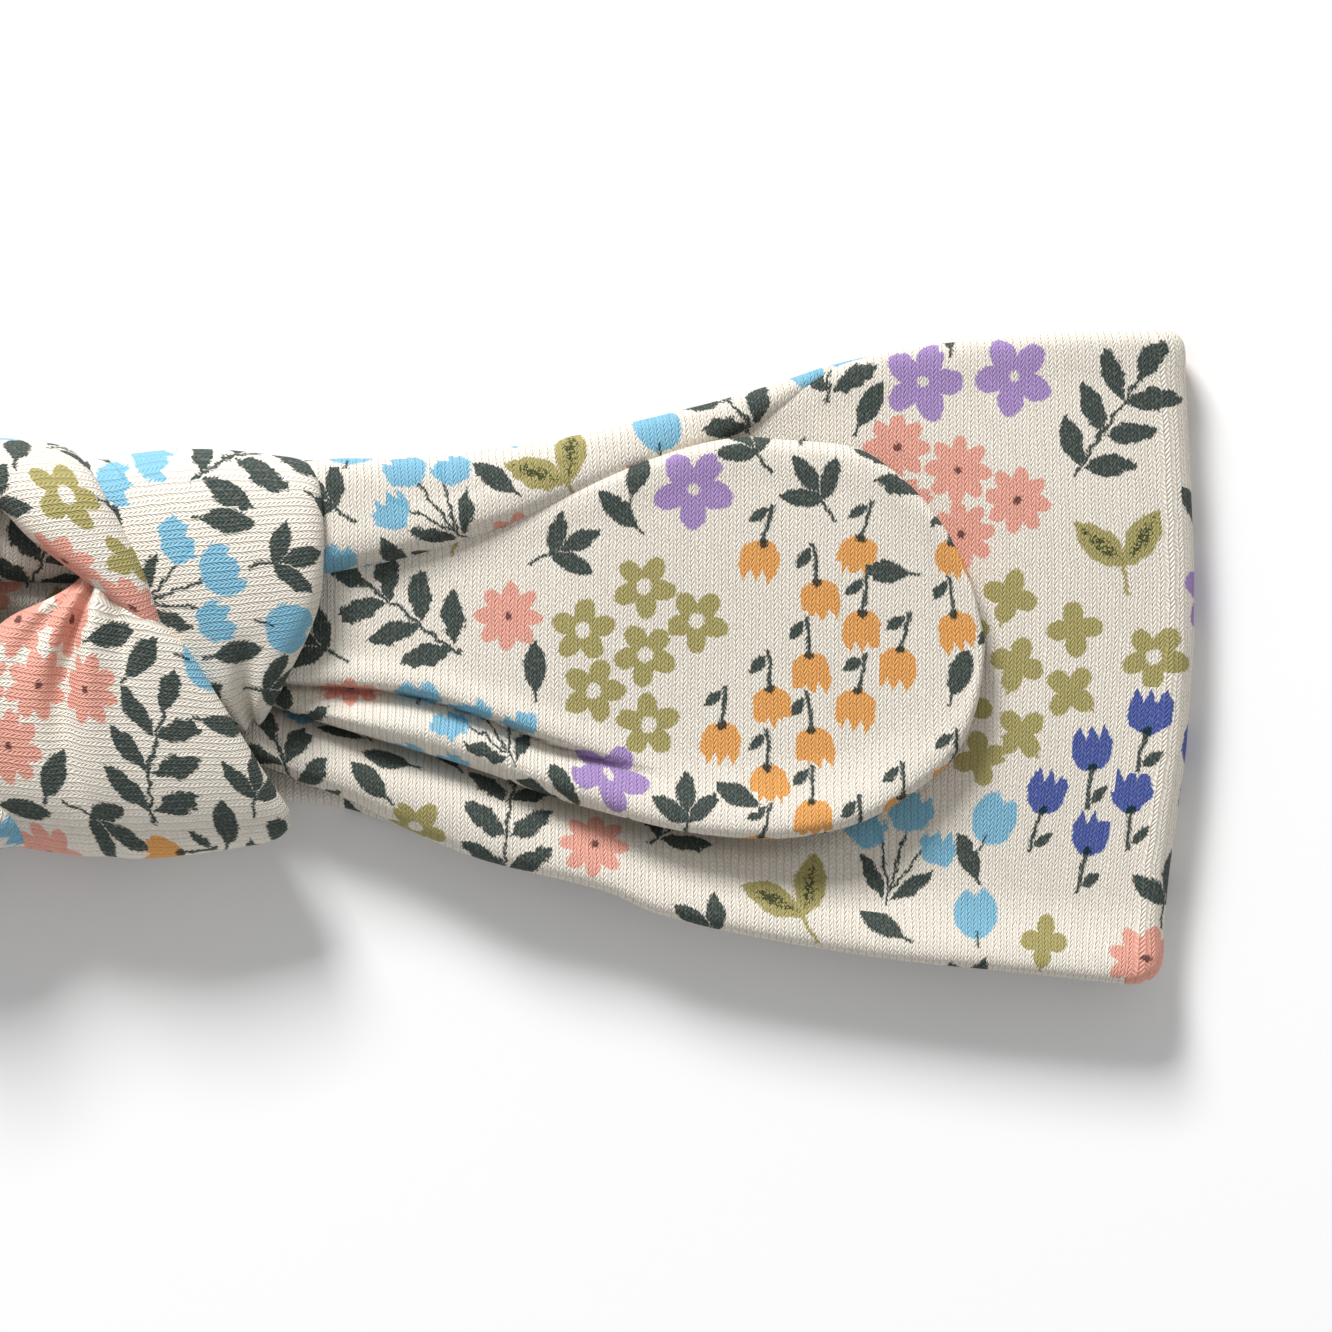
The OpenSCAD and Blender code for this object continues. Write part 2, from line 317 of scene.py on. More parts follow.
# Half the band's thickness at the fold, so that its skin and not its middle reaches the end
FOLD_SKIN = 1.05


def band_path():
    """The middle line of the band from the knot round the side fold and back, as (x, z)."""
    middle, r = (FRONT_MID_Z + BACK_MID_Z) / 2, (FRONT_MID_Z - BACK_MID_Z) / 2
    front = [(x, FRONT_MID_Z) for x in np.linspace(NECK_X, FOLD_X, FRONT_STATIONS)]
    turns = [(FOLD_X + (END_X - FOLD_X - FOLD_SKIN) * math.sin(a), middle + r * math.cos(a))
             for a in np.linspace(0, math.pi, FOLD_STATIONS)[1:-1]]
    back = [(x, BACK_MID_Z) for x in np.linspace(FOLD_X, BACK_JOIN_X, BACK_STATIONS)]
    return np.array(front + turns + back)


print("the band has", len(band_path()), "stations")

# %% Band
BAND_THICK = 1.9
# Heights of the front's soft hills and of the roll along its neck, the depth of the hollow under
# the ear, and how far the lower edge stands off the back
HILLS_HIGH, NECK_ROLL_HIGH, HOLLOW_DEEP, EDGE_LIFT = 0.35, 1.6, 2.0, 1.5
# Where along X each of them grows or fades
HILLS_GROW, NECK_ROLL_FADES, HOLLOW_FADES, EDGE_LIFTS = (30, 60), (36, 58), (64, 78), (34, 46)


def curve_fold(band, side):
    """Draws the fold line in a little towards the band's two edges, as the real one is."""
    places = np.empty(len(band.data.vertices) * 3)
    band.data.vertices.foreach_get("co", places)
    places = places.reshape(-1, 3)
    short = np.interp(side * places[:, 1] / MM, *np.array(FOLD_SHORT).T)
    near_fold = eased(np.abs(places[:, 0]) / MM, FOLD_START_X, END_X)
    places[:, 0] -= side * short * MM * near_fold
    band.data.vertices.foreach_set("co", places.reshape(-1))


def make_band(side):
    path = band_path()
    x = path[:, 0]
    station = np.arange(len(x))
    turn = eased(station, FRONT_STATIONS - 2, FRONT_STATIONS + 26)
    back = height_along(BACK_EDGE, x)
    top = height_along(FRONT_TOP, x) * (1 - turn) + back * turn
    bottom = height_along(FRONT_BOTTOM, x) * (1 - turn) - back * turn

    def relief(point):
        """Soft hills, a roll along the neck and the hollow under the ear."""
        px, py = point[..., 0], point[..., 1]
        front = eased(FRONT_STATIONS + 4 - np.broadcast_to(station[:, None], px.shape), 0, 10)
        soft = HILLS_HIGH * ripple(px, py, 3, 26) * eased(px, *HILLS_GROW)
        below_neck = py + 10.5 + 0.28 * (px - 30)
        roll = NECK_ROLL_HIGH * hill(below_neck, 0, 3.2) * (1 - eased(px, *NECK_ROLL_FADES))
        above_ear_edge = py - height_along(EAR_LOWER, px) - 0.5
        hollow = hill(above_ear_edge, 0, 1.3) * (1 - eased(px, *HOLLOW_FADES))
        return front * (soft + roll + -HOLLOW_DEEP * hollow)

    def lift(s, t):
        """The front's lower edge stands a little off the back."""
        front = 1 - eased(station[:, None], FRONT_STATIONS - 6, FRONT_STATIONS + 12)
        near_edge = 1 - eased(t * (top - bottom)[:, None], 0, 7)
        return EDGE_LIFT * front * near_edge * eased(x[:, None], *EDGE_LIFTS)

    rails = [np.column_stack([x, edge, path[:, 1]]) for edge in (bottom, top)]
    band = shell(f"{SIDES[side]}_band", rails, BAND_THICK, side, 90, lift, relief, x[0],
                 lies_flat=True)
    curve_fold(band, side)
    return band


bands = {side: make_band(side) for side in SIDES}
print("each band is", round(FLAT["right_band"][1] / MM), "mm long from the knot to its far end")

# %% [markdown]
# ## The back
# Under the knot the back half lies flat on the table, as wide as what hides it. Each side has a
# stretch from the middle to the end of the band, where the two meet edge to edge. The CAD
# panels could be kept here, but flat solids have hard edges, and cloth shows round ones.

# %% Back
def make_back(side):
    x = np.linspace(0, BACK_JOIN_X, 60)
    y = height_along(BACK_EDGE, x)
    rails = [np.column_stack([x, edge, np.full(len(x), BACK_MID_Z)]) for edge in (y, -y)]
    return shell(f"{SIDES[side]}_back_cloth", rails, BAND_THICK, side, 60)


backs = {side: make_back(side) for side in SIDES}
print("each back stretch is", round(FLAT["right_back_cloth"][0] / MM), "mm wide laid flat")

# %% [markdown]
# ## The ears
# An ear is an end of the strip, rounded at its tip and lying on the band. Its lower third is
# drawn into a crease that runs out of the knot. The crease could be a line in the bump, but that
# vanishes from the side, so both plies dip there, with a soft roll below and a lip above.

# %% Ears
EAR_UPPER = [
    (20, 4), (28, 7.2), (36, 8.8), (44, 10.9), (52, 13.8), (60, 16.6), (65, 17.6), (68.4, 17.4),
    (74.4, 16.8), (77.8, 14.9), (81.2, 11.5), (84.2, 6.4), (EAR_TIP_X, 0.2)]
EAR_CREASE = [
    (20, -2.6), (25.9, -3.1), (36.1, -3.9), (42.1, -5.6), (49.7, -8.4), (56.5, -10.4), (62, -12)]
EAR_MID_Z = FRONT_TOP_Z + 1.7
EAR_THICK = 2.3
# Each fold along the crease: its height, how far below the crease it lies and its width
CREASE_FOLDS = {"lip": (0.6, -1.2, 1.2), "roll": (1.2, 2.9, 1.6), "groove": (-1.3, 0.25, 0.32)}
EAR_EDGE_LIFT, CREASE_DROP = 1.3, 1.9


def below_crease(x, y):
    """How far a place is below the crease, and how strong the crease is there."""
    return height_along(EAR_CREASE, x) - y, 1 - eased(x, 46, 60)


def ear_relief(point):
    """The lip above the crease, the groove in it and the roll below."""
    px, py = point[..., 0], point[..., 1]
    depth, fade = below_crease(px, py)
    lip, roll, groove = (
        height * hill(depth, place, width) * fade for height, place, width in CREASE_FOLDS.values())
    return lip + roll + groove + 0.3 * ripple(px, py, 8, 22)


def make_ear(side):
    lower, upper = (
        np.column_stack([curve, np.full(len(curve), EAR_MID_Z)])
        for curve in (spline(EAR_LOWER, 110), spline(EAR_UPPER, 110)))
    width = np.linalg.norm(upper - lower, axis=1)
    tip = rim(np.maximum(EAR_TIP_X - (lower[:, 0] + upper[:, 0]) / 2, 0) + 0.01)

    def lift(s, t):
        """The lower edge stands off the band, and the cloth drops at the crease."""
        x = lower[:, :1] * (1 - t) + upper[:, :1] * t
        depth, fade = below_crease(x, lower[:, 1:2] * (1 - t) + upper[:, 1:2] * t)
        held_up = eased(x, 24, 36) * (1 - eased(x, 74, 84))
        near_edge = 1 - eased(t * width[:, None], 0, 7)
        return EAR_EDGE_LIFT * held_up * near_edge - CREASE_DROP * eased(depth, -0.1, 0.36) * fade

    return shell(f"{SIDES[side]}_ear_cloth", (lower, upper), EAR_THICK, side, 96, lift, ear_relief,
                 EAR_LOWER[0][0], tip, lies_flat=True)


ears = {side: make_ear(side) for side in SIDES}
print("each ear is", round(FLAT["right_ear_cloth"][0] / MM), "mm wide laid flat")

# %% [markdown]
# ## The pleats
# Where the band enters the knot, its upper edge is folded over on itself, and the fold thins
# out along the edge until it is gone. A flat tube between two rails can't lie over itself, so
# the fold is a thin wedge of its own that ends in the band's edge.

# %% Pleats
PLEAT_LOWER = [
    (24.5, 4.6, 8.6), (30.2, 6.0, 8.6), (36.1, 7.2, 8.4), (45, 9.9, 8.0), (54.6, 13.9, 7.2),
    (63.3, 17.2, 6.1), (68.5, 20.0, 5.5), (72, 22.2, 5.0), (76, 24.2, 4.4)]
PLEAT_UPPER = [
    (24.5, 14.9, 7.5), (30, 15.7, 7.4), (36.1, 15.8, 7.0), (45, 16.5, 6.6), (54.6, 18.6, 6.1),
    (63.3, 20.8, 5.6), (68.5, 22.4, 5.1), (72, 23.6, 4.7), (76, 24.6, 4.2)]


def pleat_thick(s):
    """Thick where it leaves the knot and almost nothing at its far end."""
    return 3.4 * (1 - s) ** 0.8 + 0.5


def pleat_lift(s, t):
    return 1.2 * np.sin(math.pi * t) ** 0.8 * (1 - s)


def make_pleat(side):
    rails = spline(PLEAT_LOWER, 80), spline(PLEAT_UPPER, 80)
    return shell(f"{SIDES[side]}_pleat_cloth", rails, pleat_thick, side, 48, pleat_lift,
                 start_u=PLEAT_LOWER[0][0], lies_flat=True)


pleats = {side: make_pleat(side) for side in SIDES}
print("each pleat runs", round(FLAT["right_pleat_cloth"][1] / MM), "mm along the band")

# %% [markdown]
# ## The knot
# Each half of the knot shows four stretches: a wrap round the neck of the band, a slanting
# ridge, a broad lobe with folds that start in the middle, and a core behind the hollow. A knot
# could be pulled tight in a cloth simulation, but it takes minutes and rarely lands in the same
# shape twice. Each stretch is drawn as its own arched shell, and its folds are dips in the arch.
# The left half is the right half turned half a turn, which is how this knot lies.

# %% Rails of the knot
WRAP_LEFT = [
    (6, 8, 3.4), (6.5, 12, 4.4), (7.2, 13.6, 7.5), (8.2, 12.6, 10.4), (10.4, 8, 11.6),
    (13.6, 2.6, 11.2), (18, -3, 9.2), (21.8, -6.5, 7.2)]
WRAP_RIGHT = [
    (27, 9, 3.2), (28.6, 12.4, 4.4), (29.2, 14.0, 7.8), (29.6, 12.9, 10.6), (29.9, 8.5, 12.0),
    (29.4, 3, 11.4), (26.6, -3.0, 9.6), (25, -5.6, 7.6)]
RIDGE_LOW = [
    (-9, 9, 3.4), (-8, 13.4, 5), (-6, 15.0, 8.4), (-2.5, 14.0, 11.9), (2.1, 12.0, 13.3),
    (5.4, 8.8, 13.7), (9.4, 5.8, 13.5), (12.5, 3.6, 12.6), (16, 1.2, 11), (18, -1.0, 9)]
RIDGE_HIGH = [
    (4, 9, 3.4), (7, 13.2, 5), (9.0, 14.7, 8.4), (10.6, 13.9, 11.7), (12.0, 11.8, 13.4),
    (13.4, 9.2, 13.7), (14.8, 6.6, 13.3), (16.0, 3.8, 12.4), (17.2, 1, 10.8), (18.4, -1.6, 9)]
LOBE_LEFT = [
    (10.4, 8, 8), (10.8, 5.0, 9.8), (8.2, 4.0, 11.4), (3.0, 2.0, 12), (-1.4, -3.6, 12.0),
    (-1.8, -10, 11.0), (0.8, -14.2, 8.6), (2.6, -15.0, 6), (4, -10, 3.4)]
LOBE_RIGHT = [
    (12.6, 7, 8), (12.9, 5.0, 10.2), (14.4, 3.0, 12.4), (18.0, 0.2, 12.9), (21.4, -5, 12.2),
    (24.6, -10.4, 10.8), (27.0, -14.4, 8.4), (25.8, -14.4, 6.0), (22, -10, 3.4)]
CORE_LOW = [(-18, 3.9, 4), (-8, 4.2, 6.2), (0, 5.2, 7.2), (8, 5.2, 7), (16, 4.4, 5)]
CORE_HIGH = [(-16, 12, 4), (-7, 13.2, 6.2), (1, 13.4, 7.2), (9, 12.6, 7), (16, 11, 5)]
# Each fold of the lobe: its place across, its width, its depth, its place along and its reach
LOBE_FOLDS = [
    (0.40, 0.055, 2.0, 0.36, 0.27), (0.50, 0.060, -0.7, 0.40, 0.25),
    (0.66, 0.05, 0.9, 0.27, 0.10), (0.22, 0.06, 0.9, 0.30, 0.12)]


def arch(t, height, fullness=1.0):
    """A stretch of cloth that stands up between its two edges."""
    return height * np.sin(math.pi * t) ** fullness


def wrap_lift(s, t):
    tuck = 1.3 * hill(t, 0.58, 0.10) * eased(s, 0.66, 0.9)
    return arch(t, 1.9, 0.75) * eased(s, 0, 0.3) * (1 - 0.5 * eased(s, 0.8, 1)) - tuck


def ridge_lift(s, t):
    return arch(t, 1.7, 0.7)


def lobe_lift(s, t):
    lift = arch(t, 2.2, 0.7)
    for middle, width, depth, place, length in LOBE_FOLDS:
        lift = lift - depth * hill(t, middle, width) * hill(s, place, length)
    return lift


def core_lift(s, t):
    return arch(t, 1.5)


print("the lobe has", len(LOBE_FOLDS), "folds")

# %% Knot
# For each stretch: its two rails, its stations, its thickness, its points across and its arch
STRETCHES = {
    "wrap": (WRAP_LEFT, WRAP_RIGHT, 90, 2, 60, wrap_lift),
    "ridge": (RIDGE_LOW, RIDGE_HIGH, 90, 2.2, 48, ridge_lift),
    "lobe": (LOBE_LEFT, LOBE_RIGHT, 90, 2, 72, lobe_lift),
    "core": (CORE_LOW, CORE_HIGH, 60, 2.4, 40, core_lift),
}
LOBE_NAMES = {1: "lower", -1: "upper"}


def make_stretch(kind, side):
    rail_a, rail_b, stations, thick, count, lift = STRETCHES[kind]
    name = (LOBE_NAMES if kind == "lobe" else SIDES)[side]
    rails = spline(rail_a, stations), spline(rail_b, stations)
    return shell(f"{name}_{kind}_cloth", rails, thick, side, count, lift)


knots = {side: [make_stretch(kind, side) for kind in STRETCHES] for side in SIDES}
print("the knot shows", sum(len(pieces) for pieces in knots.values()), "stretches of cloth")

# %% [markdown]
# Deep inside the knot there is more of the strip, which shows through the hollow between the
# stretches. Without it the knot would have a hole right through it when the loop is open. One
# creased stretch across the middle is enough, because only its shaded middle is ever seen.

# %% Middle of the knot
MIDDLE_HALF_LENGTH, MIDDLE_HALF_WIDTH, MIDDLE_SLANT = 15, 6.2, 0.12


def middle_lift(s, t):
    return 0.9 * np.cos(9 * t + 4 * s) ** 2


def make_middle():
    x = np.linspace(-MIDDLE_HALF_LENGTH, MIDDLE_HALF_LENGTH, 50)
    z = 4.6 + 0.9 * np.cos(x / MIDDLE_HALF_LENGTH * math.pi / 2)
    rails = [np.column_stack([x, edge + MIDDLE_SLANT * x, z])
             for edge in (-MIDDLE_HALF_WIDTH, MIDDLE_HALF_WIDTH)]
    return shell("knot_middle_cloth", rails, 1.8, 1, 40, middle_lift)


knot_middle = make_middle()
print("inside it lies a stretch", round(FLAT["knot_middle_cloth"][0] / MM), "mm wide")

# %% [markdown]
# ## The print
# The jersey is printed with a small scattered garden: tulips, stars, clovers and leaf sprigs
# in beds of one kind. Every motif has a place on the cloth. Each face of the mesh takes the
# nearest motif, and a second map gives the place inside it, so the shader draws one motif a face.

# %% Motifs
Kind = namedtuple("Kind", "half_wide half_high pitch turn spread")
# Half width, half height and spacing in a bed in mm, then the usual turn and its spread in degrees
KINDS = {
    "orange_tulip": Kind(2.0, 3.7, 6.3, 180, 14),
    "cobalt_tulip": Kind(2.2, 3.9, 6.9, 0, 12),
    "star": Kind(3.5, 3.5, 7.4, 10, 40),
    "ring": Kind(2.75, 2.75, 5.6, 0, 60),
    "clover": Kind(2.4, 2.6, 5.6, 20, 40),
    "coral": Kind(3.0, 3.0, 5.5, 0, 180),
    "blue_fan": Kind(5.0, 5.9, 10.0, 0, 40),
    "sprig": Kind(4.1, 6.8, 9.0, 10, 60),
    "olive_pair": Kind(4.4, 4.4, 8.4, 0, 50),
    "dark_fan": Kind(3.1, 3.5, 6.8, 0, 70),
    "dark_leaf": Kind(1.2, 2.7, 4.0, 30, 60),
    "blue_bloom": Kind(2.3, 2.9, 5.0, 0, 30),
}
KIND_ID = {kind: number + 1 for number, kind in enumerate(KINDS)}
print(len(KINDS), "kinds of motif")

# %% [markdown]
# A motif is planted only where it has room. Plain circles would keep long sprigs too far apart,
# so each motif claims an ellipse of its own width and height, and two ellipses may touch.

# %% Planting
# How close two motifs may stand, as a share of their reaches: of one kind, and of two kinds
CLOSE_KIN, CLOSE_OTHERS = 0.84, 0.9


def reach(kind, turn, way):
    """How far a motif reaches in a direction, as an ellipse."""
    rx, ry = KINDS[kind].half_wide, KINDS[kind].half_high
    a = way - turn
    return rx * ry / np.hypot(ry * np.cos(a), rx * np.sin(a))


def plant(motifs, rng, x, y, kind):
    """Adds a motif as (x, y, kind, turn, tone), unless one before it stands too close."""
    turn = math.radians(KINDS[kind].turn + rng.uniform(-1, 1) * KINDS[kind].spread)
    for px, py, pkind, pturn, tone in motifs:
        way = math.atan2(y - py, x - px)
        room = reach(kind, turn, way) + reach(pkind, pturn, way)
        if math.hypot(x - px, y - py) < (CLOSE_KIN if kind == pkind else CLOSE_OTHERS) * room:
            return
    motifs.append((x, y, kind, turn, rng.uniform()))


def bed_places(kind, radius):
    """Places in a round bed, in staggered rows that are upright for tall motifs."""
    pitch = KINDS[kind].pitch
    tall = KINDS[kind].half_high > 1.5 * KINDS[kind].half_wide
    lean, squash = (math.radians(90), 0.62) if tall else (math.radians(35), 0.87)
    rows = int(radius / (pitch * squash)) + 1
    for row in range(-rows, rows + 1):
        for step in range(-rows, rows + 1):
            a, b = (step + row % 2 / 2) * pitch, row * pitch * squash
            dx = a * math.cos(lean) - b * math.sin(lean)
            dy = a * math.sin(lean) + b * math.cos(lean)
            if math.hypot(dx, dy) < radius:
                yield dx, dy


print("a bed of rings 9.5 mm in radius has", len(list(bed_places("ring", 9.5))), "places")

# %% Strewing
# How far a motif may stray from its place in a bed, in mm
STRAY = 0.4
# The kinds that fill the cloth between the beds, in turn, and how often each is tried
FILL = [
    ("blue_fan", 12), ("sprig", 120), ("coral", 40), ("olive_pair", 60), ("star", 20),
    ("dark_fan", 500), ("blue_bloom", 100), ("ring", 60), ("orange_tulip", 100), ("clover", 200),
    ("dark_leaf", 500)]


def strewn(low, high, beds, seed):
    """Motifs over a stretch of cloth: first each bed's own kind, then the kinds that fill."""
    rng = np.random.default_rng(seed)
    motifs = []
    for x, y, radius, kind in beds:
        plant(motifs, rng, x, y, kind)
        for dx, dy in bed_places(kind, radius):
            near_x = x + dx + rng.uniform(-STRAY, STRAY)
            near_y = y + dy + rng.uniform(-STRAY, STRAY)
            plant(motifs, rng, near_x, near_y, kind)
    for kind, tries in FILL:
        for _ in range(tries):
            plant(motifs, rng, rng.uniform(low[0], high[0]), rng.uniform(low[1], high[1]), kind)
    return motifs


print("a bare square 20 mm wide takes", len(strewn((0, 0), (20, 20), [], 1)), "motifs")

# %% [markdown]
# A face is given to the motif that it lies nearest to, measured in that motif's own half widths
# and half heights. Its corners then get their place inside the motif, turned and scaled so that
# the motif is 1 high above its middle. A face far from all motifs stays plain cloth.

# %% Printing
# A face this many half widths from every motif is plain
PLAIN_BEYOND = 1.45


def turned_by(dx, dy, turn):
    """A step along X and Y, as seen on axes that are turned."""
    cos, sin = np.cos(turn), np.sin(turn)
    return dx * cos + dy * sin, dy * cos - dx * sin


def nearest_motif(centre, motifs):
    """For each face its nearest motif's number, or -1."""
    best = np.full(len(centre), PLAIN_BEYOND)
    chosen = np.full(len(centre), -1)
    for number, (x, y, kind, turn, tone) in enumerate(motifs):
        along, up = turned_by(centre[:, 0] - x, centre[:, 1] - y, turn)
        far = np.hypot(along / KINDS[kind].half_wide, up / KINDS[kind].half_high)
        closer = far < best
        best[closer], chosen[closer] = far[closer], number
    return chosen


def print_cloth(piece, beds, seed):
    """Gives every face of a piece the nearest motif, as a map inside it, a kind and a tone."""
    mesh = piece.data
    cloth = np.empty(len(mesh.loops) * 2, np.float32)
    mesh.uv_layers["cloth"].data.foreach_get("uv", cloth)
    cloth = cloth.reshape(-1, 2)
    motifs = strewn(cloth.min(axis=0), cloth.max(axis=0), beds, seed)
    starts = np.array([face.loop_start for face in mesh.polygons])
    totals = np.array([face.loop_total for face in mesh.polygons])
    centre = np.add.reduceat(cloth, starts, axis=0) / totals[:, None]
    rows = [(x, y, KIND_ID[kind], turn, tone, KINDS[kind].half_high)
            for x, y, kind, turn, tone in motifs]
    plain = (0, 0, 0, 0, 0, 1)
    motif = np.array(rows + [plain])[nearest_motif(centre, motifs)]
    x, y, kind, turn, tone, half_high = np.repeat(motif, totals, axis=0).T
    inside = np.column_stack(turned_by(cloth[:, 0] - x, cloth[:, 1] - y, turn)) / half_high[:, None]
    inside[kind == 0] = 0
    layer = mesh.uv_layers.new(name="motif")
    layer.data.foreach_set("uv", inside.astype(np.float32).reshape(-1))
    for name, column in (("kind", 2), ("tone", 4)):
        attribute = mesh.attributes.new(name, "FLOAT", "FACE")
        attribute.data.foreach_set("value", motif[:, column].astype(np.float32))
    print(piece.name, len(mesh.polygons), "faces,", len(motifs), "motifs")


print("a face more than", PLAIN_BEYOND, "half widths from every motif stays plain")

# %% [markdown]
# ### Beds
# On the real cloth each kind grows in small beds with a few strays between them. The motifs could
# be scattered evenly, but the beds are what makes it read as a garden. Each bed is a spot on the
# cloth with a radius, and the rest is filled at random from a fixed seed.

# %% Beds
# Each bed: its place on the cloth in mm, its radius and its kind
BEDS = {
    "band": [
        (98, 19.5, 1, "sprig"), (89, 22.5, 1, "star"), (81, 22, 1, "star"), (76, 20, 4, "coral"),
        (84, 14.5, 6, "coral"), (86, 7, 2, "coral"), (66.5, 21, 1, "dark_fan"),
        (98, 8, 5, "olive_pair"), (89, -2, 6, "clover"), (86, -10, 1, "clover"),
        (96, -11, 10, "cobalt_tulip"), (79, -18, 1, "blue_fan"), (86, -23.5, 4, "blue_bloom"),
        (70, -22.5, 7, "olive_pair"), (53, -19, 4, "coral"), (46, -16, 1, "sprig"),
        (42, -12, 1, "blue_fan"), (34, -14, 1, "dark_leaf"), (104, 20, 5, "coral"),
        (104, -12, 4, "sprig"), (106, 4, 6, "star")],
    "ear": [
        (75, -4, 15, "orange_tulip"), (57, -1, 9.5, "ring"), (80, 8, 2, "blue_bloom"),
        (71.5, 10, 2, "star"), (61, 13, 2, "star"), (46, 1, 1, "sprig"), (36, 3, 1, "sprig"),
        (39, -3, 1, "dark_fan"), (50, 8, 1, "dark_fan"), (32, -6, 4, "coral"),
        (44, -10, 1, "blue_fan"), (54, -12, 1, "star")],
    "pleat": [
        (30, 12, 1, "dark_fan"), (39, 11.6, 1, "blue_fan"), (33, 8, 1, "olive_pair"),
        (50, 14.6, 1, "olive_pair"), (59, 18, 3, "blue_bloom"), (66, 20, 1, "sprig")],
    "back": [(15, 0, 8, "coral"), (35, 5, 8, "olive_pair")],
    "wrap": [
        (19, -3, 1, "blue_fan"), (23, 5, 3, "blue_bloom"), (29, -4, 1, "dark_fan"),
        (28, 4, 1, "dark_fan"), (33, 5, 4, "olive_pair"), (36, 0, 1, "dark_fan")],
    "ridge": [(18, 1, 2, "ring"), (28, 0, 10, "coral")],
    "lobe": [
        (13, -6, 8, "coral"), (17, 5, 1, "sprig"), (24, 7, 1, "sprig"), (24, -2, 1, "dark_fan"),
        (31, 0, 1, "sprig"), (28, -8, 1, "blue_fan")],
    "core": [(8, 0, 1, "dark_leaf"), (16, 0, 3, "orange_tulip"), (24, 0, 2, "sprig")],
    "middle": [(10, 0, 5, "coral"), (21, 0, 5, "olive_pair")],
}
print(sum(len(beds) for beds in BEDS.values()), "beds")

# %% Printed pieces
# The seeds of the first right and left stretches, and of the one inside the knot
RIGHT_SEED, LEFT_SEED, MIDDLE_SEED = 11, 51, 91
parts = {"band": bands, "ear": ears, "pleat": pleats, "back": backs}
for place, name in enumerate(STRETCHES):
    parts[name] = {side: knots[side][place] for side in SIDES}
for number, (name, pair) in enumerate(parts.items()):
    print_cloth(pair[1], BEDS[name], RIGHT_SEED + number)
    print_cloth(pair[-1], BEDS[name][::-1], LEFT_SEED + number)
print_cloth(knot_middle, BEDS["middle"], MIDDLE_SEED)

# %% [markdown]
# ## Shader maths
# The print is drawn by the shader, out of sums on each point's place in its motif. They could be
# Math nodes wired by hand, but there are hundreds. One small class wraps a shader socket, so that
# each shape reads as ordinary maths and adds its own nodes.

# %% Shader values
class Value:
    """A shader socket that can be added, multiplied and compared like a number."""

    def __init__(self, tree, socket):
        self.tree, self.socket = tree, socket

    def node(self, kind, settings=None, values=None, out=0):
        """Any other node: its settings first, then its socket values, and one of its outputs."""
        made = self.tree.nodes.new(kind)
        for name, setting in (settings or {}).items():
            setattr(made, name, setting)
        for name, value in (values or {}).items():
            if isinstance(value, Value):
                self.tree.links.new(value.socket, made.inputs[name])
            else:
                made.inputs[name].default_value = value
        return Value(self.tree, made.outputs[out])

    def maths(self, operation, *values):
        """A Math node with this value first."""
        inputs = dict(enumerate((self, *values)))
        return self.node("ShaderNodeMath", {"operation": operation}, inputs)

    def axes(self):
        """The first two parts of a vector."""
        x = self.node("ShaderNodeSeparateXYZ", None, {0: self})
        return x, Value(self.tree, x.socket.node.outputs[1])

    def noise(self, scale, detail, roughness=0.5, out=0):
        """Noise over a map: a share with output 0 or a colour with output 1."""
        values = {"Vector": self, "Scale": scale, "Detail": detail, "Roughness": roughness}
        return self.node("ShaderNodeTexNoise", {"noise_dimensions": "2D"}, values, out)

    def __add__(self, other):
        return self.maths("ADD", other)

    __radd__ = __add__

    def __sub__(self, other):
        return self.maths("SUBTRACT", other)

    def __rsub__(self, other):
        return (self * -1) + other

    def __mul__(self, other):
        return self.maths("MULTIPLY", other)

    __rmul__ = __mul__

    def __truediv__(self, other):
        return self.maths("DIVIDE", other)

    def __pow__(self, other):
        return self.maths("POWER", other)

    def __abs__(self):
        return self.maths("ABSOLUTE")

    def cos(self):
        return self.maths("COSINE")

    def sin(self):
        return self.maths("SINE")

    def sqrt(self):
        return self.maths("SQRT")

    def low(self, other):
        return self.maths("MINIMUM", other)

    def high(self, other):
        return self.maths("MAXIMUM", other)

    def fraction(self):
        return self.maths("FRACT")

    def clamped(self):
        return self.node("ShaderNodeClamp", None, {"Value": self})

    def mixed(self, colour, share, way="MIX"):
        """This colour, with a share of another one over it."""
        settings = {"data_type": "RGBA", "blend_type": way}
        return self.node("ShaderNodeMix", settings, {6: self, 7: colour, 0: share}, out=2)


def rgb(code):
    """A screen colour such as e8e0d0, as the linear colour that a shader works in."""
    shares = [int(code[k:k + 2], 16) / 255 for k in (0, 2, 4)]
    return tuple(c / 12.92 if c <= 0.04045 else ((c + 0.055) / 1.055) ** 2.4 for c in shares) + (1,)


GROUND = "fcf6ea"
print("the cream ground is", [round(share, 2) for share in rgb(GROUND)[:3]], "in linear light")

# %% [markdown]
# ### Motif shapes
# Each shape is a distance: below zero inside it and above zero outside. Two shapes join with the
# lower of their distances. A picture of the print could be used, but it would blur close by,
# and maths keeps every edge sharp.

# %% Motif shapes
def lobes(radius, angle, count, valley, peak):
    """A round bloom of broad petals with notches between them."""
    return radius - valley - abs((angle * (count / 2)).cos()) * (peak - valley)


def leaf(x, y, long, wide):
    """A pointed leaf along X."""
    return abs(y) / wide + (x / long) ** 2 - 1


def leaf_at(x, y, cx, cy, degrees, long, wide):
    """A pointed leaf round a middle, turned from X."""
    lx, ly = turned_by(x - cx, y - cy, math.radians(degrees))
    return leaf(lx, ly, long, wide) * wide


